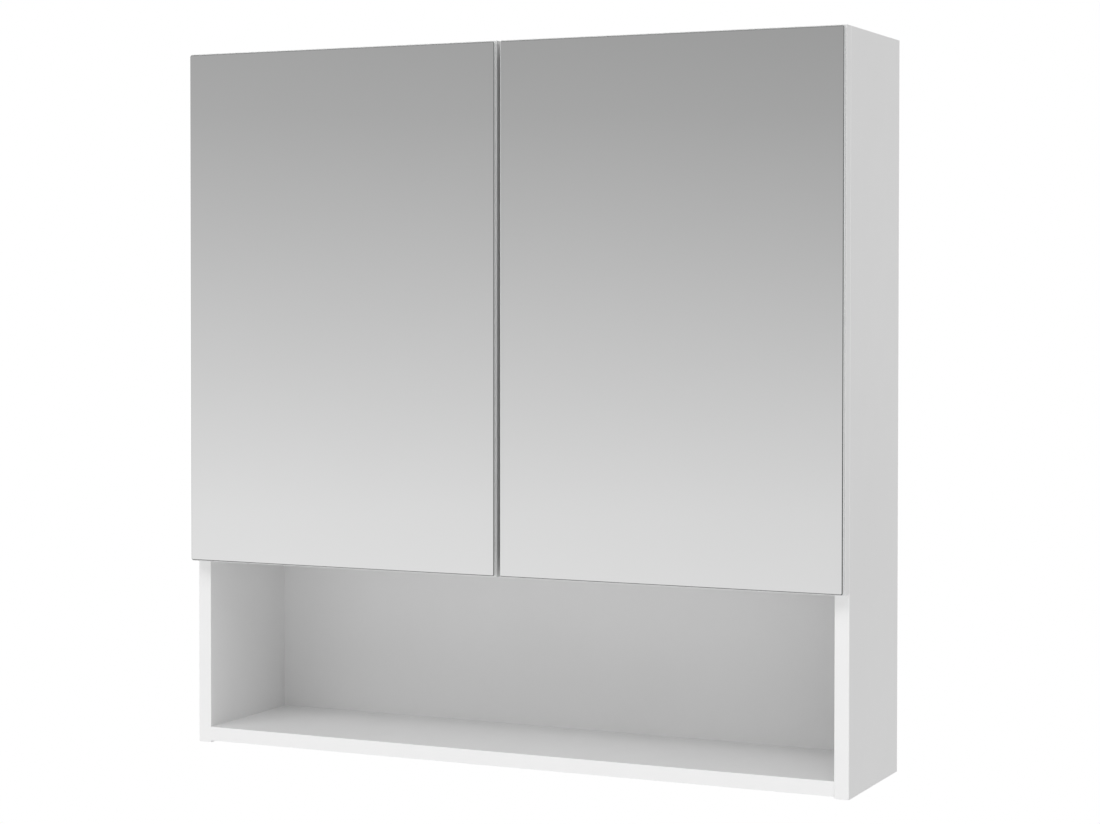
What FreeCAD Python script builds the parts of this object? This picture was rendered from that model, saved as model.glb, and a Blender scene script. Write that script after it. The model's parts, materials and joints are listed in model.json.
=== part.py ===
import FreeCAD, Part
import math
import os

# Two-door mirror cabinet with an open niche below, hung on a wall by two screws.
# Front faces -Y, the wall is the plane y = 0, +Z is up.
# The origin lies on the wall plane, midway between the two wall screws.

# Carcass
width = 594.0              # over the side panels
height = 600.0             # of the side panels
depth = 128.0              # wall plane to the front edges of the boards
board = 12.0               # thickness of the carcass boards
bottom_rise = 1.6          # bottom panel stands this much above the ends of the sides
niche_lap = 2.0            # niche ceiling lies this much above the doors' lower edges
edge_round = 0.4           # soft arris on the visible board edges
back_thick = 3.0           # thin back panel, let into a rebate
rebate_in = 6.0            # rebate width cut into the boards behind the back panel
back_clear = 0.2           # play of the back panel in its rebate, each side

# Wall fixing
rail_height = 60.0         # hanging rail under the top panel
wall_hole_d = 5.5          # wall-screw holes through rail and back panel
wall_hole_spacing = 440.0

# Doors
door_height = 440.0
door_gap = 4.0             # between the two doors
door_clear = 0.5           # carcass front edges to the backs of the doors
door_board = 10.0
adhesive_thick = 0.5
adhesive_width = 22.0
adhesive_inset = 9.0       # strip to the edge of the mirror
adhesive_strips = 4        # per door
mirror_thick = 3.0
mirror_lip = 1.0           # white edge of the door board around the mirror
closing_lip = 0.6          # the same at the closing edge
mirror_arris = 0.7         # ground bevel round the front of the glass
mirror_corner = 1.5        # corner radius of the glass
felt_d = 8.0
felt_thick = 0.4
felt_inset = 14.0          # felt dot to the closing edge of the door

# Glass shelves and their pins
shelf_thick = 5.0
shelf_depth = 104.0
shelf_end_clear = 1.5
shelf_back_clear = 4.0
shelf_drops = (150.0, 288.0)   # top of the cabinet to the upper faces of the glass shelves
pin_d = 5.0
pin_reach = 7.0            # pin end to the side's inner face
pin_bury = 8.0
pin_collar_d = 7.5
pin_collar = 1.0
pin_inset = 22.0           # pin to the front and back edges of the shelf
pin_pitch = 32.0           # spare holes above and below each pin
fit_clear = 0.03           # seated pins and screws in their holes, on the radius

# Board joints
dowel_d = 6.0
dowel_in_side = 8.0
dowel_in_panel = 16.0
dowel_end_clear = 0.5
dowel_inset = 26.0         # dowel to the front edge and to the back panel
rail_dowel_inset = 15.0    # dowel to the upper and lower edges of the rail
cam_d = 12.0
cam_deep = 9.0
cam_setback = 24.0         # cam axis to the end of its board
cam_slot = 1.6             # screwdriver cross in the face of the cam
cam_slot_deep = 2.0
cam_bolt_d = 4.0
cam_bolt_in_side = 8.0
cam_bolt_past = 2.0        # bolt tip past the cam axis
back_screw = (2.5, 5.0, 13.0)    # shank, head and length of a countersunk screw
drive_arm = 0.25           # arms of the cross recess in a screw's head, in head diameters
drive_wide = 0.14          # width of those arms, in head diameters
drive_deep = 0.55          # depth of the recess, as a share of the countersink
back_screw_rows = (0.1, 0.4, 0.7, 0.95)   # places along each side of the back panel
back_screw_columns = (-0.35, 0.0, 0.35)   # places along the top and bottom of the back panel

# Concealed hinges: sizes in plan are (inwards, forwards)
hinge_inset = 75.0         # hinge to the upper and lower edges of the door
cup_d = 26.0
cup_setback = 3.2          # rim of the cup to the outer edge of the door
cup_deep = 9.5
cup_wall = 1.0
cup_clear = 0.1            # cup in its drilling
flange_half = 20.0         # cup flange, up and down from the hinge's middle
flange_wide = 13.0
flange_thick = 1.0
cup_screw = (3.0, 5.4, 8.0)
cup_screw_spacing = 32.0
outer_cup_pivot = (7.6, 1.7)     # from the door's outer edge and its back face
inner_cup_pivot = (12.2, 2.4)
outer_link_bend = (11.8, 5.3)
outer_arm_pivot = (14.5, -13.0)  # from the side's inner face and the front plane
inner_arm_pivot = (24.0, -3.9)
hinge_pin_r = 1.0
running_clear = 0.05       # link on its pin, on the radius
open_slot_long = 2.15      # travel of the cup pin in the eye of the inner link
open_slot_shift = 0.25     # slot moved out along the link from the cup pin
open_slot_half = 1.65      # half width of that slot
link_half = 1.8            # half width of a link's strip
eye_r = 2.4                # link eye at the arm
open_eye_half = 2.6        # half width of the eye round the slot
link_thick = 1.2           # sheet of links, arm and lugs
layer_clear = 0.2          # between neighbouring sheets
inner_link_half = 2.4      # half thickness of the inner link
rivet_head_r = 1.7
rivet_head = 0.6
arm_back = -58.0           # rear end of the arm, from the front plane
arm_shoulder = -17.5       # where the arm leaves the mounting plate
arm_height = 5.6           # arm above its plate
plate_thick = 2.5
plate_half = 19.0          # mounting plate, up and down from the hinge's middle
plate_front = -26.0
plate_back = -48.0
plate_screw = (3.5, 6.4, 11.0)
plate_screw_spacing = 28.0
plate_corner = 4.0
arm_screw_d = 4.0
arm_screw_head_d = 7.0
arm_screw_head = 2.0
arm_screw_at = -46.0

# Levels and planes worked out from the sizes above
top_z = board + rail_height / 2
bottom_z = top_z - height
front_y = -depth
half_width = width / 2
inner_x = half_width - board
floor_z = bottom_z + bottom_rise + board
door_bottom_z = top_z - door_height
ceiling_z = door_bottom_z + niche_lap
back_y = -back_thick
back_top_z = top_z - rebate_in
back_bottom_z = floor_z - rebate_in
door_width = (width - door_gap) / 2
door_back_y = front_y - door_clear
door_face_y = door_back_y - door_board
mirror_back_y = door_face_y - adhesive_thick
mirror_face_y = mirror_back_y - mirror_thick
hinge_levels = {"upper": top_z - hinge_inset, "lower": door_bottom_z + hinge_inset}
lug_in = inner_link_half + layer_clear
lug_out = lug_in + link_thick
outer_link_in = lug_out + layer_clear
outer_link_out = outer_link_in + link_thick
cup_u = cup_setback + cup_d / 2
cup_floor_v = door_clear + cup_deep - cup_wall

V = FreeCAD.Vector


def box(x0, x1, y0, y1, z0, z1):
    return Part.makeBox(x1 - x0, y1 - y0, z1 - z0, V(x0, y0, z0))


def rod(radius, start, direction, length):
    return Part.makeCylinder(radius, length, V(*start), V(*direction))


def cut(body, tools):
    return body.cut(tools).removeSplitter() if tools else body


def fuse(shapes):
    return shapes[0].fuse(shapes[1:]).removeSplitter()


def group(solids):
    return Part.makeCompound(solids)


def mirrored(shape):
    return shape.mirror(V(0, 0, 0), V(1, 0, 0))


def turned(profile, origin, direction):
    """Solid of revolution from (radius, along) points, closed on its axis."""
    points = [V(r, 0, a) for r, a in profile]
    face = Part.Face(Part.makePolygon(points + points[:1]))
    solid = face.revolve(V(0, 0, 0), V(0, 0, 1), 360)
    solid = Part.Solid(solid) if solid.ShapeType == "Shell" else solid
    turn = FreeCAD.Rotation(V(0, 0, 1), V(*direction))
    solid.Placement = FreeCAD.Placement(V(*origin), turn)
    return solid


def screw_blank(size, origin, direction):
    """Countersunk screw before its recess is cut, head face at the origin, shank along the direction."""
    d, head_d, length = size
    r, head_r = d / 2, head_d / 2
    tip = length - r
    profile = [(0, 0), (head_r, 0), (r, head_r - r), (r, tip), (0.3 * r, length), (0, length)]
    return turned(profile, origin, direction)


def screw(size, origin, direction):
    """Countersunk screw with a cross recess in its head."""
    d, head_d, length = size
    arm, half, deep = drive_arm * head_d, drive_wide * head_d / 2, drive_deep * (head_d - d) / 2
    cross = fuse([box(-arm, arm, -half, half, -deep, deep), box(-half, half, -arm, arm, -deep, deep)])
    turn = FreeCAD.Rotation(V(0, 0, 1), V(*direction))
    cross.Placement = FreeCAD.Placement(V(*origin), turn)
    return cut(screw_blank(size, origin, direction), [cross])


def screw_hole(size, origin, direction):
    return screw_blank([value + 2 * fit_clear for value in size], origin, direction)


# Hinge plan: u runs inwards from the cabinet's outer face, v forwards from the front plane

def plan(u, v, z):
    return V(u - half_width, front_y - v, z)


def door_point(point):
    return (point[0], point[1] + door_clear)


def arm_point(point):
    return (point[0] + board, point[1])


def bar(p, q, half, z0, z1):
    """Flat strip with round ends, from p to q in plan."""
    du, dv = q[0] - p[0], q[1] - p[1]
    run = math.hypot(du, dv)
    su, sv = -dv / run * half, du / run * half
    eu, ev = du / run * half, dv / run * half
    a, b = plan(p[0] + su, p[1] + sv, z0), plan(q[0] + su, q[1] + sv, z0)
    c, d = plan(q[0] - su, q[1] - sv, z0), plan(p[0] - su, p[1] - sv, z0)
    far, near = plan(q[0] + eu, q[1] + ev, z0), plan(p[0] - eu, p[1] - ev, z0)
    edges = [Part.LineSegment(a, b), Part.Arc(b, far, c), Part.LineSegment(c, d), Part.Arc(d, near, a)]
    wire = Part.Wire([edge.toShape() for edge in edges])
    return Part.Face(wire).extrude(V(0, 0, z1 - z0))


def pin(p, radius, z0, z1):
    return Part.makeCylinder(radius, z1 - z0, plan(p[0], p[1], z0))


def plan_box(u0, u1, v0, v1, z0, z1):
    return box(u0 - half_width, u1 - half_width, front_y - v1, front_y - v0, z0, z1)


def both_layers(make, level, inner, outer):
    """The same sheet above and below the hinge's middle plane."""
    return [make(level + inner, level + outer), make(level - outer, level - inner)]


arm_outer, arm_inner = arm_point(outer_arm_pivot), arm_point(inner_arm_pivot)
cup_outer, cup_inner = door_point(outer_cup_pivot), door_point(inner_cup_pivot)
link_bend = door_point(outer_link_bend)
running_r = hinge_pin_r + running_clear
seated_r = hinge_pin_r + fit_clear


def outer_links(level):
    """Two bent strips, one above and one below the hinge's middle."""
    def strip(z0, z1):
        limbs = [bar(arm_outer, link_bend, link_half, z0, z1), bar(link_bend, cup_outer, link_half, z0, z1)]
        eyes = [pin(arm_outer, eye_r, z0, z1)]
        holes = [pin(arm_outer, running_r, z0, z1), pin(cup_outer, running_r, z0, z1)]
        return cut(fuse(limbs + eyes), holes)
    return group(both_layers(strip, level, outer_link_in, outer_link_out))


def inner_link(level):
    """Straight middle link, with a slotted eye in which its cup pin travels."""
    z0, z1 = level - inner_link_half, level + inner_link_half
    along = V(cup_inner[0] - arm_inner[0], cup_inner[1] - arm_inner[1], 0).normalize()
    start = (cup_inner[0] + open_slot_shift * along.x, cup_inner[1] + open_slot_shift * along.y)
    end = (start[0] + open_slot_long * along.y, start[1] - open_slot_long * along.x)
    solid = fuse([bar(arm_inner, cup_inner, link_half, z0, z1), pin(arm_inner, eye_r, z0, z1),
                  bar(start, end, open_eye_half, z0, z1)])
    return cut(solid, [pin(arm_inner, running_r, z0, z1), bar(start, end, open_slot_half, z0, z1)])


def rivet(p, level, side):
    """Short headed rivet through one lug and the outer link beside it."""
    ends = (lug_in, outer_link_out + layer_clear, outer_link_out + layer_clear + rivet_head)
    profile = [(0, ends[0]), (hinge_pin_r, ends[0]), (hinge_pin_r, ends[1]), (rivet_head_r, ends[1]),
               (rivet_head_r, ends[2]), (0, ends[2])]
    return turned(profile, plan(p[0], p[1], level), (0, 0, side))


def pivot_pins(outer_pivot, inner_pivot, levels):
    solids = []
    for level in levels:
        solids += [rivet(outer_pivot, level, 1), rivet(outer_pivot, level, -1)]
        solids.append(pin(inner_pivot, hinge_pin_r, level - lug_out, level + lug_out))
    return group(solids)


def hinge_arm(level):
    """Narrow pressed channel on the mounting plate, with a nose that carries both links."""
    u0 = board + plate_thick
    u1 = u0 + arm_height
    heel = (u1 - link_half, arm_shoulder - link_half)

    def cheek(z0, z1):
        sides = [(heel, arm_outer), (arm_outer, arm_inner), (arm_inner, heel)]
        nose = [bar(p, q, eye_r, z0, z1) for p, q in sides]
        solid = fuse([plan_box(u0, u1, arm_back, arm_shoulder, z0, z1)] + nose)
        return cut(solid, [pin(arm_outer, seated_r, z0, z1), pin(arm_inner, seated_r, z0, z1)])
    cheeks = both_layers(cheek, level, lug_in, lug_out)
    web = plan_box(u1 - link_thick, u1, arm_back, arm_shoulder, level - lug_in, level + lug_in)
    under_web = plan(u1 - 2 * link_thick, arm_screw_at, level)
    hole = rod(arm_screw_d / 2 + fit_clear, under_web, (1, 0, 0), 3 * link_thick)
    return cut(fuse(cheeks + [web]), [hole])


def arm_screw(level):
    """Fixing screw of the arm, head on the channel's web, end in the plate."""
    top_u = board + plate_thick + arm_height
    shank = rod(arm_screw_d / 2, plan(board + plate_thick, arm_screw_at, level), (1, 0, 0), arm_height)
    head = rod(arm_screw_head_d / 2, plan(top_u, arm_screw_at, level), (1, 0, 0), arm_screw_head)
    slot = box(top_u + arm_screw_head / 2 - half_width, top_u + arm_screw_head - half_width,
               front_y - arm_screw_at - arm_screw_head_d, front_y - arm_screw_at + arm_screw_head_d,
               level - cam_slot / 2, level + cam_slot / 2)
    return cut(fuse([shank, head]), [slot])


def plate_screw_starts(level):
    middle = (plate_front + plate_back) / 2
    return [plan(board + plate_thick, middle, level + side * plate_screw_spacing / 2) for side in (1, -1)]


def hinge_plate(level):
    """Wing plate screwed to the side panel."""
    plate = plan_box(board, board + plate_thick, plate_back, plate_front,
                     level - plate_half, level + plate_half)
    corners = [edge for edge in plate.Edges if abs(edge.tangentAt(edge.FirstParameter).x) > 0.9]
    plate = plate.makeFillet(plate_corner, corners)
    return cut(plate, [screw_hole(plate_screw, start, (-1, 0, 0)) for start in plate_screw_starts(level)])


def cup_screw_starts(level):
    return [plan(cup_u, door_clear, level + side * cup_screw_spacing / 2) for side in (1, -1)]


def cup_blank(level, extra):
    """Outline of the cup and its flange; extra is the room left round it."""
    bowl = rod(cup_d / 2 + extra, plan(cup_u, door_clear, level), (0, -1, 0), cup_deep + extra)
    half_wide, half_high = flange_wide / 2 + extra, flange_half + extra
    flange = plan_box(cup_u - half_wide, cup_u + half_wide, door_clear, door_clear + flange_thick + extra,
                      level - half_high, level + half_high)
    return fuse([bowl, flange])


def hinge_cup(level):
    """Cup with two lugs on its floor that carry the links' pins."""
    hollow = rod(cup_d / 2 - cup_wall, plan(cup_u, door_clear, level), (0, -1, 0), cup_deep - cup_wall)
    shell = cut(cup_blank(level, 0), [hollow])
    outer_foot, inner_foot = (cup_outer[0], cup_floor_v), (cup_inner[0], cup_floor_v)

    def lug(z0, z1):
        ring = [cup_outer, cup_inner, inner_foot, outer_foot, cup_outer]
        limbs = [bar(p, q, link_half, z0, z1) for p, q in zip(ring, ring[1:])]
        room = plan_box(0, 2 * cup_u, door_clear, cup_floor_v + cup_wall / 2, z0, z1)
        return fuse(limbs).common(room)
    lugs = both_layers(lug, level, lug_in, lug_out)
    holes = [pin(p, seated_r, level - lug_out, level + lug_out) for p in (cup_outer, cup_inner)]
    holes += [screw_hole(cup_screw, start, (0, -1, 0)) for start in cup_screw_starts(level)]
    return cut(fuse([shell] + lugs), holes)


# Doors

def door_panel():
    """Left door board, drilled for its two cups."""
    x0 = -half_width
    panel = box(x0, x0 + door_width, door_face_y, door_back_y, door_bottom_z, top_z)
    face_edges = [edge for edge in panel.Edges if edge.BoundBox.YMax < door_face_y + 1e-6]
    panel = panel.makeFillet(edge_round, face_edges)
    tools = []
    for level in hinge_levels.values():
        tools.append(cup_blank(level, cup_clear))
        tools += [screw_hole(cup_screw, start, (0, -1, 0)) for start in cup_screw_starts(level)]
    return cut(panel, tools)


def mirror_glass():
    """Left mirror with rounded corners and a ground arris round its front."""
    x0, x1 = -half_width + mirror_lip, -half_width + door_width - closing_lip
    glass = box(x0, x1, mirror_face_y, mirror_back_y, door_bottom_z + mirror_lip, top_z - mirror_lip)
    upright = [edge for edge in glass.Edges if abs(edge.tangentAt(edge.FirstParameter).y) > 0.9]
    glass = glass.makeFillet(mirror_corner, upright)
    rim = [edge for edge in glass.Edges if edge.BoundBox.YMax < mirror_face_y + 1e-6]
    return glass.makeChamfer(mirror_arris, rim)


def adhesive():
    """Upright strips of mounting tape between door board and mirror."""
    inset = mirror_lip + adhesive_inset
    first, last = -half_width + inset, -half_width + door_width - inset - adhesive_width
    step = (last - first) / (adhesive_strips - 1)
    starts = [first + i * step for i in range(adhesive_strips)]
    z0, z1 = door_bottom_z + inset, top_z - inset
    return group([box(x, x + adhesive_width, mirror_back_y, door_face_y, z0, z1) for x in starts])


def felt_dots():
    """Thin dots that close on the front edges of the top panel and the fixed shelf."""
    x = -half_width + door_width - felt_inset
    levels = (top_z - board / 2, ceiling_z + board / 2)
    return group([rod(felt_d / 2, (x, door_back_y, z), (0, 1, 0), felt_thick) for z in levels])


# Carcass

panel_levels = {"top": top_z - board / 2, "fixed": ceiling_z + board / 2, "bottom": floor_z - board / 2}
dowel_rows = (front_y + dowel_inset, back_y - dowel_inset)
cam_row = (front_y + back_y) / 2
rail_y = back_y - board / 2
rail_levels = (top_z - board - rail_dowel_inset, top_z - board - rail_height + rail_dowel_inset)
dowel_places = [(y, z) for z in panel_levels.values() for y in dowel_rows]
dowel_places += [(rail_y, z) for z in rail_levels]
cam_places = [(cam_row, z) for z in panel_levels.values()]
shelf_back = back_y - shelf_back_clear
shelf_front = shelf_back - shelf_depth
pin_rows = (shelf_front + pin_inset, shelf_back - pin_inset)
shelf_levels = [top_z - drop - shelf_thick for drop in shelf_drops]
pin_places = [(y, z - pin_d / 2) for z in shelf_levels for y in pin_rows]


def dowel(y, z):
    length = dowel_in_side + dowel_in_panel
    start = (-inner_x - dowel_in_side, y, z)
    tip = dowel_d / 8
    profile = [(0, 0), (dowel_d / 2 - tip, 0), (dowel_d / 2, tip), (dowel_d / 2, length - tip),
               (dowel_d / 2 - tip, length), (0, length)]
    return turned(profile, start, (1, 0, 0))


def dowel_hole(y, z):
    length = dowel_in_side + dowel_in_panel + 2 * dowel_end_clear
    start = (-inner_x - dowel_in_side - dowel_end_clear, y, z)
    return rod(dowel_d / 2 + fit_clear, start, (1, 0, 0), length)


def cam_bolt(y, z):
    length = cam_bolt_in_side + cam_setback + cam_bolt_past
    return rod(cam_bolt_d / 2, (-inner_x - cam_bolt_in_side, y, z), (1, 0, 0), length)


def cam_bolt_hole(y, z):
    length = cam_bolt_in_side + cam_setback + cam_bolt_past + 2 * fit_clear
    start = (-inner_x - cam_bolt_in_side - fit_clear, y, z)
    return rod(cam_bolt_d / 2 + fit_clear, start, (1, 0, 0), length)


def cam_lock(y, z, extra=0.0):
    """Cam pressed into the underside of its board, with a screwdriver cross."""
    x = -inner_x + cam_setback
    face_z = z - board / 2
    drum = rod(cam_d / 2 + extra, (x, y, face_z), (0, 0, 1), cam_deep + extra)
    if extra:
        return drum
    arm = cam_d / 3
    cross = [box(x - arm, x + arm, y - cam_slot / 2, y + cam_slot / 2, face_z, face_z + cam_slot_deep),
             box(x - cam_slot / 2, x + cam_slot / 2, y - arm, y + arm, face_z, face_z + cam_slot_deep)]
    return cut(drum, cross + [cam_bolt_hole(y, z)])


def shelf_pin(y, z):
    r, collar_r = pin_d / 2, pin_collar_d / 2
    profile = [(0, -pin_bury), (r, -pin_bury), (r, 0), (collar_r, 0), (collar_r, pin_collar),
               (r, pin_collar), (r, pin_reach), (0, pin_reach)]
    return turned(profile, (-inner_x, y, z), (1, 0, 0))


def pin_hole(y, z):
    length = pin_bury + dowel_end_clear
    return rod(pin_d / 2 + fit_clear, (-inner_x - length, y, z), (1, 0, 0), length)


def back_screw_places():
    """Screws along both sides of the back panel and along its top and bottom."""
    x = inner_x + rebate_in / 2
    span = back_top_z - back_bottom_z
    places = [(side * x, back_bottom_z + share * span) for share in back_screw_rows for side in (-1, 1)]
    rows = (top_z - board + rebate_in / 2, floor_z - rebate_in / 2)
    return places + [(share * width, z) for z in rows for share in back_screw_columns]


def back_screw_holes():
    return [screw_hole(back_screw, (x, 0, z), (0, -1, 0)) for x, z in back_screw_places()]


def wall_holes():
    x = wall_hole_spacing / 2
    return [rod(wall_hole_d / 2, (side * x, back_y - board, 0), (0, 1, 0), board + back_thick)
            for side in (-1, 1)]


def side_panel():
    """Left side: soft front edges, back rebate, drillings for everything it carries."""
    panel = box(-half_width, -inner_x, front_y, 0, bottom_z, top_z)
    front_edges = [edge for edge in panel.Edges if edge.BoundBox.YMax < front_y + 1e-6]
    panel = panel.makeFillet(edge_round, front_edges)
    rebate_z0, rebate_z1 = back_bottom_z - back_clear, back_top_z + back_clear
    tools = [box(-inner_x - rebate_in, -inner_x, back_y, 0, rebate_z0, rebate_z1)]
    tools += [dowel_hole(y, z) for y, z in dowel_places]
    tools += [cam_bolt_hole(y, z) for y, z in cam_places]
    tools += [pin_hole(y, z + step * pin_pitch) for y, z in pin_places for step in (-1, 0, 1)]
    for level in hinge_levels.values():
        tools += [screw_hole(plate_screw, start, (-1, 0, 0)) for start in plate_screw_starts(level)]
    tools += back_screw_holes()
    return cut(panel, tools)


def cross_panel(level, back_edge, rebates):
    """Board between the sides, drilled at both ends for dowels, cam and cam bolt."""
    panel = box(-inner_x, inner_x, front_y, back_edge, level - board / 2, level + board / 2)
    tools = list(rebates)
    for y in dowel_rows:
        tools += [dowel_hole(y, level), mirrored(dowel_hole(y, level))]
    left = [cam_bolt_hole(cam_row, level), cam_lock(cam_row, level, fit_clear)]
    tools += left + [mirrored(tool) for tool in left]
    return cut(panel, tools + back_screw_holes())


def hanging_rail():
    rail = box(-inner_x, inner_x, back_y - board, back_y, top_z - board - rail_height, top_z - board)
    tools = wall_holes()
    for z in rail_levels:
        tools += [dowel_hole(rail_y, z), mirrored(dowel_hole(rail_y, z))]
    return cut(rail, tools)


def back_panel():
    x = inner_x + rebate_in - back_clear
    panel = box(-x, x, back_y, 0, back_bottom_z, back_top_z)
    return cut(panel, wall_holes() + back_screw_holes())


def glass_shelf(level):
    x = inner_x - shelf_end_clear
    glass = box(-x, x, shelf_front, shelf_back, level, level + shelf_thick)
    return glass.makeChamfer(edge_round, [edge for edge in glass.Edges if edge.BoundBox.ZLength < 1e-6])


def pair(make, places):
    """One solid per place on the left, and its mirror image on the right."""
    left = [make(y, z) for y, z in places]
    return group(left + [mirrored(solid) for solid in left])


parts = {}
left_side = side_panel()
parts["left_side_panel"] = left_side
parts["right_side_panel"] = mirrored(left_side)
top_rebate = box(-inner_x, inner_x, back_y, 0, top_z - board, back_top_z + back_clear)
floor_rebate = box(-inner_x, inner_x, back_y, 0, back_bottom_z - back_clear, floor_z)
parts["top_panel"] = cross_panel(panel_levels["top"], 0, [top_rebate])
parts["fixed_shelf"] = cross_panel(panel_levels["fixed"], back_y, [])
parts["bottom_panel"] = cross_panel(panel_levels["bottom"], 0, [floor_rebate])
parts["back_panel"] = back_panel()
parts["hanging_rail"] = hanging_rail()
parts["upper_glass_shelf"] = glass_shelf(shelf_levels[0])
parts["lower_glass_shelf"] = glass_shelf(shelf_levels[1])
parts["shelf_pins"] = pair(shelf_pin, pin_places)
parts["dowels"] = pair(dowel, dowel_places)
parts["cam_locks"] = pair(cam_lock, cam_places)
parts["cam_bolts"] = pair(cam_bolt, cam_places)
back_screws = [screw(back_screw, (x, 0, z), (0, -1, 0)) for x, z in back_screw_places()]
parts["back_panel_screws"] = group(back_screws)
levels = hinge_levels.values()
plate_screws = [screw(plate_screw, start, (-1, 0, 0)) for z in levels for start in plate_screw_starts(z)]
arm_screws = [arm_screw(level) for level in levels]
parts["hinge_plate_screws"] = group(plate_screws + [mirrored(screw) for screw in plate_screws])
parts["hinge_arm_screws"] = group(arm_screws + [mirrored(screw) for screw in arm_screws])

left_hand = {}
for name, level in hinge_levels.items():
    left_hand[name + "_hinge_plate"] = hinge_plate(level)
    left_hand[name + "_hinge_arm"] = hinge_arm(level)
    left_hand[name + "_outer_links"] = outer_links(level)
    left_hand[name + "_inner_link"] = inner_link(level)
    left_hand[name + "_hinge_cup"] = hinge_cup(level)
left_hand["arm_pins"] = pivot_pins(arm_outer, arm_inner, levels)
left_hand["cup_pins"] = pivot_pins(cup_outer, cup_inner, levels)
cup_screws = [screw(cup_screw, start, (0, -1, 0)) for z in levels for start in cup_screw_starts(z)]
left_hand["cup_screws"] = group(cup_screws)
left_hand["door_board"] = door_panel()
left_hand["mirror"] = mirror_glass()
left_hand["mirror_adhesive"] = adhesive()
left_hand["felt_dots"] = felt_dots()
for name, shape in left_hand.items():
    parts["left_" + name] = shape
    parts["right_" + name] = mirrored(shape)

os.makedirs("parts", exist_ok=True)
for name, shape in parts.items():
    shape.exportStep(os.path.join("parts", name + ".step"))
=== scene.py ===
import json
import math

import bpy
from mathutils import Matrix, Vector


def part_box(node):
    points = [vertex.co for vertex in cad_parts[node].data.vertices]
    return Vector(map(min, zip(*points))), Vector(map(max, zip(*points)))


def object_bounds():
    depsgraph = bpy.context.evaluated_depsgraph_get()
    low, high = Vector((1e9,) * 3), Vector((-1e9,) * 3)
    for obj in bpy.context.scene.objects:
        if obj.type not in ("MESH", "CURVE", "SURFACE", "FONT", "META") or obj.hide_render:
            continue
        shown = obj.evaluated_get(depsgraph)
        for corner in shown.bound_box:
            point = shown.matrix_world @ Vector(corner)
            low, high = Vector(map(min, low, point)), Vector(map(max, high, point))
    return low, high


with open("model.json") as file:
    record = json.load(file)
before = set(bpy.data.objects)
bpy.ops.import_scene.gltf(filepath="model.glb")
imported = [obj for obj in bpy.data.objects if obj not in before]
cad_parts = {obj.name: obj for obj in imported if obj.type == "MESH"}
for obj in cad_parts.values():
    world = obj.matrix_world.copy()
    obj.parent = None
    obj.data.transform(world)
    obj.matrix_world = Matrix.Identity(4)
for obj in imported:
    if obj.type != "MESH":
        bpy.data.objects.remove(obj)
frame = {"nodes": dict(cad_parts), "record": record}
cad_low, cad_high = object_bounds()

# Two-door mirror cabinet with an open niche below.
# Metres, front towards -Y, wall at y = 0, +Z up.

# Planes that the finishes follow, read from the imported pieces
side_low, side_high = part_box("left_side_panel")
mirror_low, mirror_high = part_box("left_mirror")
wall_y = side_high.y
front_y = side_low.y
mirror_face_y = mirror_low.y
mirror_back_y = mirror_high.y
closing_left_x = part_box("left_door_board")[1].x
closing_right_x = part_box("right_door_board")[0].x
closing_arris_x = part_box("right_mirror")[0].x
SKIN = 0.00002                # depth within which a point counts as lying on a plane
EDGE_BAND = 0.0005            # depth of the band on the front edges of the boards
MIRROR_BEVEL = 0.0007         # depth and width of the polished bevel round the mirrors
GLASS_RIM = 0.0006            # width of the tinted rim of the shelves


# Finishes, as linear colours

def grey(level):
    return (level, level, level, 1)


BOARD_WHITE, BOARD_SHADE = grey(0.82), grey(0.81)
EDGE_WHITE, EDGE_SHADE = grey(0.945), grey(0.935)
# Grey of the doors' closing edges: painted shade in the gap between the doors
GAP_PAINTED_SHADE, GAP_PAINTED_SHADE_DARK = grey(0.65), grey(0.63)
CHIP_PALE, CHIP_DARK = (0.60, 0.46, 0.30, 1), (0.33, 0.22, 0.12, 1)
FIBRE_PALE, FIBRE_DARK = (0.36, 0.22, 0.12, 1), (0.24, 0.14, 0.075, 1)
BEECH_PALE, BEECH_DARK = (0.62, 0.42, 0.24, 1), (0.48, 0.3, 0.16, 1)
SILVER_CLEAR, SILVER_HAZY = (0.905, 0.906, 0.906, 1), (0.895, 0.896, 0.896, 1)
# Polished bevel of the mirrors, tinted dark as painted shade along the mirrors' edges
BEVEL_DARK, BEVEL_PALE = (0.29, 0.295, 0.295, 1), (0.34, 0.345, 0.345, 1)
GROUND_DULL, GROUND_PALE = (0.9, 0.915, 0.91, 1), (0.95, 0.965, 0.96, 1)
PAINT_PALE, PAINT_DARK = (0.3, 0.33, 0.33, 1), (0.26, 0.29, 0.29, 1)
GLASS_CLEAR, GLASS_GREEN = (0.93, 0.97, 0.955, 1), (0.58, 0.84, 0.74, 1)
FOAM_PALE, FOAM_DARK = (0.62, 0.62, 0.6, 1), (0.5, 0.5, 0.48, 1)
FELT_PALE, FELT_DARK = (0.66, 0.66, 0.64, 1), (0.5, 0.5, 0.49, 1)
METALS = {                    # clear tone, dull tone, scale of the lines, roughness from and to
    "nickel_steel": ((0.76, 0.755, 0.74, 1), (0.72, 0.715, 0.7, 1), 900.0, 0.16, 0.22),
    "rivet_steel": (grey(0.66), grey(0.6), 1200.0, 0.2, 0.28),
    "pin_metal": ((0.76, 0.755, 0.74, 1), (0.7, 0.695, 0.68, 1), 1200.0, 0.15, 0.22),
    "screw_steel": ((0.68, 0.68, 0.675, 1), (0.61, 0.61, 0.605, 1), 1200.0, 0.22, 0.3),
    "zinc": ((0.6, 0.6, 0.61, 1), (0.5, 0.5, 0.51, 1), 500.0, 0.35, 0.5),
}

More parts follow.
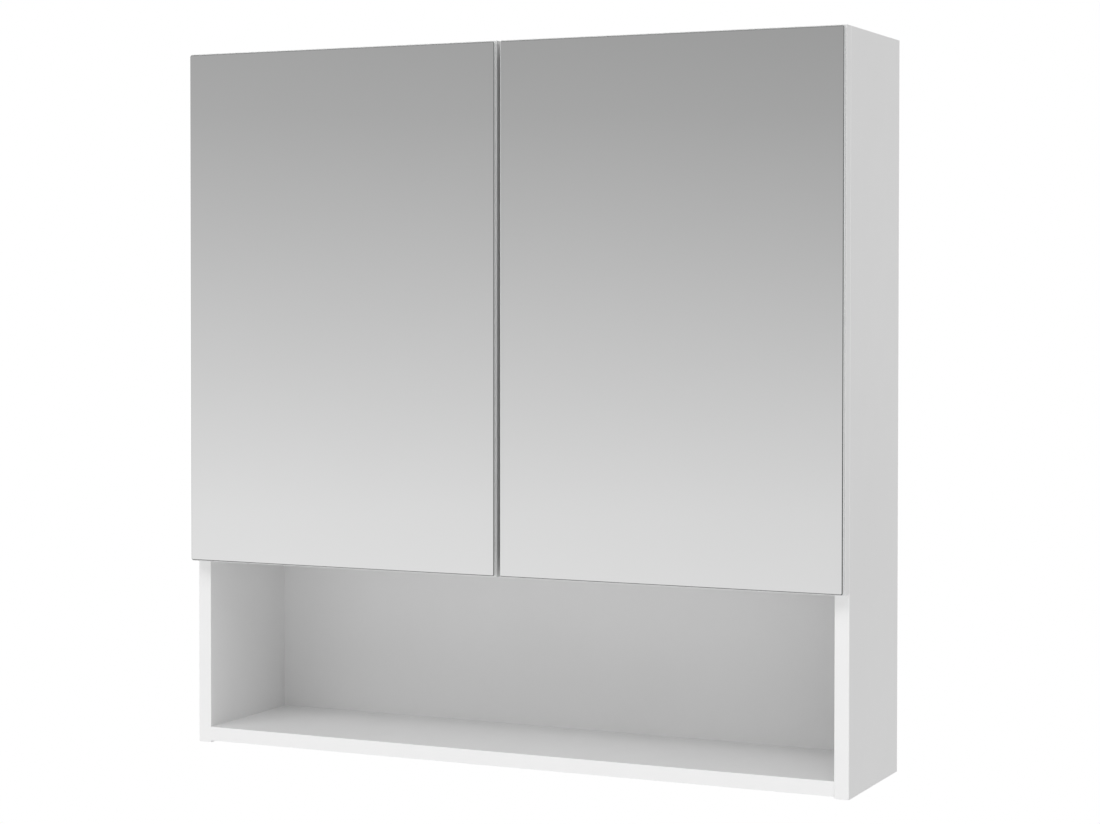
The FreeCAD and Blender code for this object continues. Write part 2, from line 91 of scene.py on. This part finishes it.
# Roughness of surfaces
BARE_ROUGH = 0.85             # sawn chipboard and hardboard
FACE_ROUGH = 0.012            # mirror face
BEVEL_ROUGH = (0.08, 0.14)    # polished bevel of the mirrors
GROUND_ROUGH = 0.5            # ground sides of the mirrors
SMEAR_ROUGH = (0.0, 0.05)     # faces of the glass shelves
RIM_ROUGH = 0.45              # rims of the glass shelves
FLECK_ROUGH = 0.95            # felt and foam
BEECH_ROUGH = 0.6
FLOOR_ROUGH = 0.8

# Part of a noise that is spread over the whole of a mask
WIDE = (0.3, 0.7)
TIGHT = (0.35, 0.65)
SMEARED = (0.35, 0.7)

# Scale of the patterns, per metre
BOARD_MOTTLE, EDGE_MOTTLE = 9.0, 22.0
PEEL_SCALE, SMUDGE_SCALE = 1600.0, 34.0
CHIP_SCALE, FIBRE_SCALE, DUST_SCALE = 420.0, 900.0, 900.0
LINE_SCALE, CLOUD_SCALE = 700.0, 160.0
HAZE_SCALE, GRIT_SCALE = 6.0, 2200.0
SMEAR_SCALE, GRAIN_SCALE = 18.0, 900.0
FOAM_SCALE, FELT_SCALE = 1500.0, 2600.0
FLOOR_SCALE = 1.5

# Stretch of lines and grain along a piece, and how far dust covers the chips
LINE_STRETCH, GRAIN_STRETCH = (1.0, 0.06, 1.0), (0.08, 1.0, 1.0)
DUST_COVER = (0.4, 1.0)

# Depth of the bumps
PEEL_DEPTH, PEEL_STRENGTH = 0.00002, 0.5
LINE_DEPTH, LINE_STRENGTH = 0.00002, 0.12
FOAM_DEPTH, FELT_DEPTH, GRAIN_DEPTH = 0.00005, 0.0001, 0.00005


# Node helpers

MIX_SOCKETS = {"RGBA": (6, 7, 2), "FLOAT": (2, 3, 0)}    # first, second and result of a mix node
COLOUR, NUMBER = "NodeSocketColor", "NodeSocketFloat"


def add(tree, kind, **settings):
    node = tree.nodes.new(kind)
    for name, value in settings.items():
        setattr(node, name, value)
    return node


def feed(tree, socket, value):
    """Gives an input a number or colour, or links a socket to it."""
    if isinstance(value, bpy.types.NodeSocket):
        tree.links.new(value, socket)
    else:
        socket.default_value = value


def fill(tree, node, **values):
    """Feeds inputs by name, with _ for a space."""
    for name, value in values.items():
        feed(tree, node.inputs[name.replace("_", " ")], value)
    return node


def object_place(tree):
    return add(tree, "ShaderNodeTexCoord").outputs["Object"]


def split_place(tree, place):
    return fill(tree, add(tree, "ShaderNodeSeparateXYZ"), Vector=place).outputs


def stretched(tree, place, scale):
    return fill(tree, add(tree, "ShaderNodeMapping"), Vector=place, Scale=scale).outputs["Vector"]


def noise(tree, place, scale, detail, roughness=0.5):
    node = add(tree, "ShaderNodeTexNoise")
    fill(tree, node, Vector=place, Scale=scale, Detail=detail, Roughness=roughness)
    return node.outputs["Fac"]


def between(tree, value, low, high, to_low=0.0, to_high=1.0):
    """Value mapped from low..high to to_low..to_high, held at both ends."""
    node = add(tree, "ShaderNodeMapRange")
    fill(tree, node, Value=value, From_Min=low, From_Max=high, To_Min=to_low, To_Max=to_high)
    return node.outputs["Result"]


def math_node(tree, operation, first, second):
    """One sum of two terms."""
    node = add(tree, "ShaderNodeMath", operation=operation)
    for socket, term in zip(node.inputs, (first, second)):
        feed(tree, socket, term)
    return node.outputs[0]


def mix(tree, kind, share, first, second):
    first_at, second_at, result_at = MIX_SOCKETS[kind]
    node = fill(tree, add(tree, "ShaderNodeMix", data_type=kind), Factor=share)
    feed(tree, node.inputs[first_at], first)
    feed(tree, node.inputs[second_at], second)
    return node.outputs[result_at]


def blend(tree, share, first, second):
    """Colour between first and second."""
    return mix(tree, "RGBA", share, first, second)


def choose(tree, share, first, second):
    """Number between first and second."""
    return mix(tree, "FLOAT", share, first, second)


# Effects that several finishes use

def start_group(name, inputs, outputs):
    tree = bpy.data.node_groups.new(name, "ShaderNodeTree")
    for label, kind, value in inputs:
        socket = tree.interface.new_socket(label, in_out="INPUT", socket_type=kind)
        socket.default_value = value
    for label, kind in outputs:
        tree.interface.new_socket(label, in_out="OUTPUT", socket_type=kind)
    return tree, add(tree, "NodeGroupInput").outputs, add(tree, "NodeGroupOutput")


def make_pearl_skin():
    """Pearl-textured foil of white boards: faint mottle, uneven gloss and a fine orange peel."""
    tree, given, out = start_group(
        "pearl_skin",
        [("Tone", COLOUR, BOARD_WHITE), ("Shade", COLOUR, BOARD_SHADE),
         ("Mottle Scale", NUMBER, BOARD_MOTTLE), ("Peel Scale", NUMBER, PEEL_SCALE),
         ("Rough From", NUMBER, 0.36), ("Rough To", NUMBER, 0.46)],
        [("Color", COLOUR), ("Roughness", NUMBER), ("Height", NUMBER)])
    place = object_place(tree)
    mottle = noise(tree, place, given["Mottle Scale"], detail=4.0, roughness=0.6)
    smear = noise(tree, place, SMUDGE_SCALE, detail=3.0)
    fill(tree, out,
         Color=blend(tree, between(tree, mottle, *TIGHT), given["Tone"], given["Shade"]),
         Roughness=between(tree, smear, *WIDE, given["Rough From"], given["Rough To"]),
         Height=noise(tree, place, given["Peel Scale"], detail=2.0))
    return tree


def make_raw_fibre():
    """Pressed wood fibre or chips, for sawn back edges and the rough side of hardboard."""
    tree, given, out = start_group(
        "raw_fibre",
        [("Pale", COLOUR, CHIP_PALE), ("Dark", COLOUR, CHIP_DARK),
         ("Chip Scale", NUMBER, CHIP_SCALE)],
        [("Color", COLOUR), ("Height", NUMBER)])
    place = object_place(tree)
    chips = add(tree, "ShaderNodeTexVoronoi")
    fill(tree, chips, Vector=place, Scale=given["Chip Scale"])
    parts = fill(tree, add(tree, "ShaderNodeSeparateColor"), Color=chips.outputs["Color"])
    shade = parts.outputs["Red"]
    dust = noise(tree, place, DUST_SCALE, detail=3.0)
    share = math_node(tree, "MULTIPLY", shade, between(tree, dust, *WIDE, *DUST_COVER))
    fill(tree, out, Color=blend(tree, share, given["Pale"], given["Dark"]), Height=shade)
    return tree


def make_plated_skin():
    """Plated or polished metal: cloudy tone, fine drawing lines and uneven gloss."""
    tree, given, out = start_group(
        "plated_skin",
        [("Tone", COLOUR, (0.7, 0.69, 0.67, 1)), ("Dull", COLOUR, (0.55, 0.545, 0.53, 1)),
         ("Line Scale", NUMBER, LINE_SCALE),
         ("Rough From", NUMBER, 0.2), ("Rough To", NUMBER, 0.36)],
        [("Color", COLOUR), ("Roughness", NUMBER), ("Height", NUMBER)])
    place = object_place(tree)
    along = stretched(tree, place, LINE_STRETCH)
    lines = noise(tree, along, given["Line Scale"], detail=2.0)
    cloud = noise(tree, place, CLOUD_SCALE, detail=4.0)
    fill(tree, out,
         Color=blend(tree, between(tree, cloud, *WIDE), given["Tone"], given["Dull"]),
         Roughness=between(tree, lines, *WIDE, given["Rough From"], given["Rough To"]),
         Height=lines)
    return tree


pearl_skin = make_pearl_skin()
raw_fibre = make_raw_fibre()
plated_skin = make_plated_skin()


# Materials

def start_material(name):
    material = bpy.data.materials.new(name)
    material.use_nodes = True
    tree = material.node_tree
    return material, tree, tree.nodes["Principled BSDF"]


def use(tree, group, **values):
    return fill(tree, add(tree, "ShaderNodeGroup", node_tree=group), **values).outputs


def bump(tree, shader, height, depth, strength=1.0):
    node = add(tree, "ShaderNodeBump")
    fill(tree, node, Height=height, Distance=depth, Strength=strength)
    fill(tree, shader, Normal=node.outputs["Normal"])


def beyond(tree, axis, value):
    """Mask of the points whose object coordinate on that axis lies above the value."""
    return math_node(tree, "GREATER_THAN", split_place(tree, object_place(tree))[axis], value)


def strip(tree, axis, low, high):
    """Mask of the points whose object coordinate on that axis lies between low and high."""
    return math_node(tree, "SUBTRACT", beyond(tree, axis, low), beyond(tree, axis, high))


def faced_board(name, pale, dark, chip_scale):
    """White faced board with a light front edge, whose sawn or rough side at the wall is bare."""
    material, tree, shader = start_material(name)
    skin = use(tree, pearl_skin, Tone=BOARD_WHITE, Shade=BOARD_SHADE)
    band = use(tree, pearl_skin, Tone=EDGE_WHITE, Shade=EDGE_SHADE, Mottle_Scale=EDGE_MOTTLE)
    raw = use(tree, raw_fibre, Pale=pale, Dark=dark, Chip_Scale=chip_scale)
    bare = beyond(tree, "Y", wall_y - SKIN)
    behind = beyond(tree, "Y", front_y + EDGE_BAND)
    faced = blend(tree, behind, band["Color"], skin["Color"])
    fill(tree, shader,
         Base_Color=blend(tree, bare, faced, raw["Color"]),
         Roughness=choose(tree, bare, skin["Roughness"], BARE_ROUGH))
    bump(tree, shader, skin["Height"], PEEL_DEPTH, PEEL_STRENGTH)
    return material


def door_board():
    """White faced door whose closing edges carry a grey band, painted shade in the gap between
    the doors.
    """
    material, tree, shader = start_material("white_door")
    skin = use(tree, pearl_skin, Tone=BOARD_WHITE, Shade=BOARD_SHADE)
    # grey band on the closing edges stands in for the shade in the gap: painted shade
    band = use(tree, pearl_skin, Tone=GAP_PAINTED_SHADE, Shade=GAP_PAINTED_SHADE_DARK, Mottle_Scale=EDGE_MOTTLE)
    painted_gap_mask = strip(tree, "X", closing_left_x - SKIN, closing_right_x + SKIN)
    fill(tree, shader,
         Base_Color=blend(tree, painted_gap_mask, skin["Color"], band["Color"]),
         Roughness=skin["Roughness"])
    bump(tree, shader, skin["Height"], PEEL_DEPTH, PEEL_STRENGTH)
    return material


def silvered_glass():
    """Mirror face with a faint haze, a polished bevel tinted dark as painted shade along the
    edges, pale ground sides and a painted back.

    The bevel of the right mirror is made pale and matt where it meets the left one, a painted
    highlight along the gap.
    """
    material, tree, shader = start_material("mirror_glass")
    place = object_place(tree)
    haze = between(tree, noise(tree, place, HAZE_SCALE, detail=5.0, roughness=0.6), *WIDE)
    grit = between(tree, noise(tree, place, GRIT_SCALE, detail=2.0), *WIDE)
    past_face = beyond(tree, "Y", mirror_face_y + SKIN)
    past_bevel = beyond(tree, "Y", mirror_face_y + MIRROR_BEVEL)
    at_back = beyond(tree, "Y", mirror_back_y - SKIN)
    # the right mirror's bevel at the gap takes the pale ground tone: painted highlight
    painted_gap_mask = strip(tree, "X", 0.0, closing_arris_x + MIRROR_BEVEL)
    matt = math_node(tree, "MAXIMUM", past_bevel, painted_gap_mask)
    silver = blend(tree, haze, SILVER_CLEAR, SILVER_HAZY)
    # dark bevel tone: painted shade along the mirrors' edges
    bevel = blend(tree, grit, BEVEL_DARK, BEVEL_PALE)
    ground = blend(tree, grit, GROUND_DULL, GROUND_PALE)
    paint = blend(tree, haze, PAINT_PALE, PAINT_DARK)
    polish = choose(tree, past_face, FACE_ROUGH, between(tree, grit, 0.0, 1.0, *BEVEL_ROUGH))
    fill(tree, shader,
         Base_Color=blend(tree, matt, blend(tree, past_face, silver, bevel),
                          blend(tree, at_back, ground, paint)),
         Metallic=choose(tree, matt, 1.0, 0.0),
         Roughness=choose(tree, matt, polish, GROUND_ROUGH))
    return material


def clear_glass():
    """Float glass: clear faces, green at the polished rim."""
    material, tree, shader = start_material("clear_glass")
    low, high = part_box("upper_glass_shelf")
    place = object_place(tree)
    along = split_place(tree, place)
    rim = 0.0
    for axis, near, far in (("X", low.x, high.x), ("Y", low.y, high.y)):
        middle = (near + far) / 2
        away = math_node(tree, "ABSOLUTE", math_node(tree, "SUBTRACT", along[axis], middle), 0.0)
        outside = math_node(tree, "GREATER_THAN", away, far - middle - GLASS_RIM)
        rim = math_node(tree, "MAXIMUM", rim, outside)
    smear = noise(tree, place, SMEAR_SCALE, detail=4.0)
    fill(tree, shader, Transmission_Weight=1.0, IOR=1.5,
         Base_Color=blend(tree, rim, GLASS_CLEAR, GLASS_GREEN),
         Roughness=choose(tree, rim, between(tree, smear, *SMEARED, *SMEAR_ROUGH), RIM_ROUGH))
    return material


def plated(name, tone, dull, line_scale, rough_from, rough_to):
    material, tree, shader = start_material(name)
    skin = use(tree, plated_skin, Tone=tone, Dull=dull, Line_Scale=line_scale,
               Rough_From=rough_from, Rough_To=rough_to)
    fill(tree, shader, Metallic=1.0, Base_Color=skin["Color"], Roughness=skin["Roughness"])
    bump(tree, shader, skin["Height"], LINE_DEPTH, LINE_STRENGTH)
    return material


def soft_fleck(name, pale, dark, scale, depth):
    """Felt or foam: matt, flecked and slightly fuzzy."""
    material, tree, shader = start_material(name)
    fuzz = noise(tree, object_place(tree), scale, detail=4.0, roughness=0.7)
    fill(tree, shader, Roughness=FLECK_ROUGH,
         Base_Color=blend(tree, between(tree, fuzz, *WIDE), pale, dark))
    bump(tree, shader, fuzz, depth)
    return material


def beech():
    """Turned beech with grain along the dowel."""
    material, tree, shader = start_material("beech")
    along = stretched(tree, object_place(tree), GRAIN_STRETCH)
    grain = noise(tree, along, GRAIN_SCALE, detail=4.0)
    fill(tree, shader, Roughness=BEECH_ROUGH,
         Base_Color=blend(tree, between(tree, grain, *WIDE), BEECH_PALE, BEECH_DARK))
    bump(tree, shader, grain, GRAIN_DEPTH)
    return material


finishes = {
    "white_board": faced_board("white_board", CHIP_PALE, CHIP_DARK, CHIP_SCALE),
    "white_hardboard": faced_board("white_hardboard", FIBRE_PALE, FIBRE_DARK, FIBRE_SCALE),
    "white_door": door_board(),
    "mirror_glass": silvered_glass(),
    "clear_glass": clear_glass(),
    "foam_tape": soft_fleck("foam_tape", FOAM_PALE, FOAM_DARK, FOAM_SCALE, FOAM_DEPTH),
    "felt": soft_fleck("felt", FELT_PALE, FELT_DARK, FELT_SCALE, FELT_DEPTH),
    "beech": beech(),
}
for metal, look in METALS.items():
    finishes[metal] = plated(metal, *look)
for entry in frame["record"]["subparts"]:
    for slot in frame["nodes"][entry["node"]].material_slots:
        slot.material = finishes[entry["material_slot"]]


# Stage: a pale floor well below the hanging cabinet, which fades out towards its rim

FLOOR_DROP = 1.2              # underside of the cabinet to the floor
FLOOR_RADIUS = 3.0
FLOOR_SIDES = 96
FLOOR_FADE = (0.3, 0.98)      # where the fade starts and ends, as shares of the radius
FLOOR_PALE, FLOOR_DULL = grey(0.9), grey(0.88)


def pale_floor():
    bpy.ops.object.select_all(action="DESELECT")
    bpy.ops.mesh.primitive_circle_add(vertices=FLOOR_SIDES, radius=FLOOR_RADIUS, fill_type="NGON",
                                      location=(0, 0, cad_low.z - FLOOR_DROP))
    floor = bpy.context.object
    floor.name = "studio_floor"
    material, tree, shader = start_material("studio_floor")
    place = object_place(tree)
    cloud = noise(tree, place, FLOOR_SCALE, detail=2.0)
    fill(tree, shader, Roughness=FLOOR_ROUGH,
         Base_Color=blend(tree, cloud, FLOOR_PALE, FLOOR_DULL))
    out = add(tree, "ShaderNodeVectorMath", operation="LENGTH")
    fill(tree, out, Vector=place)
    start, end = FLOOR_FADE
    far = between(tree, out.outputs["Value"], FLOOR_RADIUS * start, FLOOR_RADIUS * end)
    fade = add(tree, "ShaderNodeMixShader")
    clear = add(tree, "ShaderNodeBsdfTransparent")
    for socket, part in zip(fade.inputs, (far, shader.outputs[0], clear.outputs[0])):
        feed(tree, socket, part)
    fill(tree, tree.nodes["Material Output"], Surface=fade.outputs[0])
    floor.data.materials.append(material)
    floor.visible_diffuse = False
    floor.visible_glossy = False
    floor.visible_shadow = False


pale_floor()


# Light: a row of soft lights in front, 45 degrees up, with wide fill from the other sides.
# Reflections see a grey fall of brightness instead, and the camera sees white.

BROAD, NARROW, SHARP = 4.0, 16.0, 64.0     # how quickly a light fades to its sides
SOFT_LIGHTS = [               # degrees to the right of the front, degrees up, fade, level
    (-30, 45, SHARP, 2.75), (0, 45, SHARP, 1.73), (30, 45, SHARP, 2.53), (0, 55, SHARP, 1.81),
    (-30, 45, NARROW, 1.12), (-30, 0, NARROW, 0.49), (30, 0, NARROW, 0.63),
    (-90, -20, BROAD, 0.06), (-45, -20, BROAD, 0.60), (0, -20, BROAD, 0.24),
    (45, -20, BROAD, 0.46), (0, -60, BROAD, 0.58), (45, -60, BROAD, 0.12),
    (90, -60, BROAD, 0.75), (90, 60, BROAD, 1.22), (135, -30, BROAD, 0.34),
    (135, 30, BROAD, 0.51), (-135, -30, BROAD, 0.94), (-135, 30, BROAD, 0.94)]
MIRRORED = [                  # height of a reflected direction, level
    (-0.9, 0.42), (-0.5, 0.50), (-0.32, 0.55), (-0.2, 0.69), (-0.13, 0.805),
    (-0.09, 0.76), (-0.03, 0.626), (0.03, 0.5), (0.07, 0.423), (0.11, 0.378)]
MIRROR_SIDES = ((-0.56, 1.048), (-0.30, 0.952))    # reflections are a little lighter to the left
RIGHT_MIRRORED = ((-0.125, 0.28), (0.105, 0.62))   # the other way up on the right
UP_MIRRORED = 0.7             # level of reflections from above
BEHIND_MIRRORED = 0.58        # and from behind
TO_RIGHT, TO_ABOVE, TO_BEHIND = (0.5, 0.8), (0.4, 0.7), (0.1, 0.5)    # where these take over


def soft_light(tree, place, turn, rise, fade, level):
    """Brightness that one soft light adds to the surroundings in each direction."""
    turn, rise = math.radians(turn), math.radians(rise)
    centre = (math.sin(turn) * math.cos(rise), -math.cos(turn) * math.cos(rise), math.sin(rise))
    toward = add(tree, "ShaderNodeVectorMath", operation="DOT_PRODUCT")
    for socket, vector in zip(toward.inputs, (place, centre)):
        feed(tree, socket, vector)
    facing = math_node(tree, "MAXIMUM", toward.outputs["Value"], 0.0)
    return math_node(tree, "MULTIPLY", math_node(tree, "POWER", facing, fade), level)


def all_soft_lights(tree, place):
    total = 0.0
    for light in SOFT_LIGHTS:
        total = math_node(tree, "ADD", total, soft_light(tree, place, *light))
    return total


def mirrored_greys(tree, place):
    """Brightness that reflections see in each direction."""
    toward = split_place(tree, place)
    low, high = MIRRORED[0][0], MIRRORED[-1][0]
    ramp = add(tree, "ShaderNodeValToRGB")
    fill(tree, ramp, Fac=between(tree, toward["Z"], low, high))
    stops = ramp.color_ramp.elements
    while len(stops) < len(MIRRORED):
        stops.new(0.5)
    for stop, (height, level) in zip(stops, MIRRORED):
        stop.position = (height - low) / (high - low)
        stop.color = grey(level)
    (left, light), (right, dark) = MIRROR_SIDES
    across = between(tree, toward["X"], left, right, light, dark)
    (under, dim), (over, pale) = RIGHT_MIRRORED
    on_right = between(tree, toward["Z"], under, over, dim, pale)
    level = math_node(tree, "MULTIPLY", ramp.outputs["Color"], across)
    level = choose(tree, between(tree, toward["X"], *TO_RIGHT), level, on_right)
    level = choose(tree, between(tree, toward["Z"], *TO_ABOVE), level, UP_MIRRORED)
    return choose(tree, between(tree, toward["Y"], *TO_BEHIND), level, BEHIND_MIRRORED)


def surroundings():
    world = bpy.data.worlds.new("studio")
    bpy.context.scene.world = world
    world.use_nodes = True
    tree = world.node_tree
    tree.nodes.clear()
    place = add(tree, "ShaderNodeTexCoord").outputs["Generated"]
    path = add(tree, "ShaderNodeLightPath").outputs
    seen = math_node(tree, "MAXIMUM", path["Is Camera Ray"], path["Is Transmission Ray"])
    lit = choose(tree, path["Is Glossy Ray"], all_soft_lights(tree, place),
                 mirrored_greys(tree, place))
    background = add(tree, "ShaderNodeBackground")
    fill(tree, background, Color=grey(1), Strength=choose(tree, seen, lit, 1.0))
    fill(tree, add(tree, "ShaderNodeOutputWorld"), Surface=background.outputs[0])


surroundings()


# Camera at the photograph's angle

IMAGE_WIDE = 1100
FOCAL_PIXELS = 2484.79
CENTRE_OFFSET = (-11.0, -68.59)   # optical centre from the middle of the image, right and down
EYE = (0.89081, -1.9705, -0.16102)
TILT, ROLL, TURN = -1.2597, -0.024, 25.0034    # degrees; the turn is to the left

view = bpy.data.cameras.new("photo_view")
view.sensor_fit = "HORIZONTAL"
view.sensor_width = 36.0
view.lens = FOCAL_PIXELS / IMAGE_WIDE * view.sensor_width
view.shift_x = -CENTRE_OFFSET[0] / IMAGE_WIDE
view.shift_y = CENTRE_OFFSET[1] / IMAGE_WIDE
camera = bpy.data.objects.new("photo_view", view)
bpy.context.scene.collection.objects.link(camera)
camera.location = EYE
camera.rotation_euler = (math.radians(90 + TILT), math.radians(ROLL), math.radians(TURN))
bpy.context.scene.camera = camera
bpy.context.scene.view_settings.view_transform = "Standard"
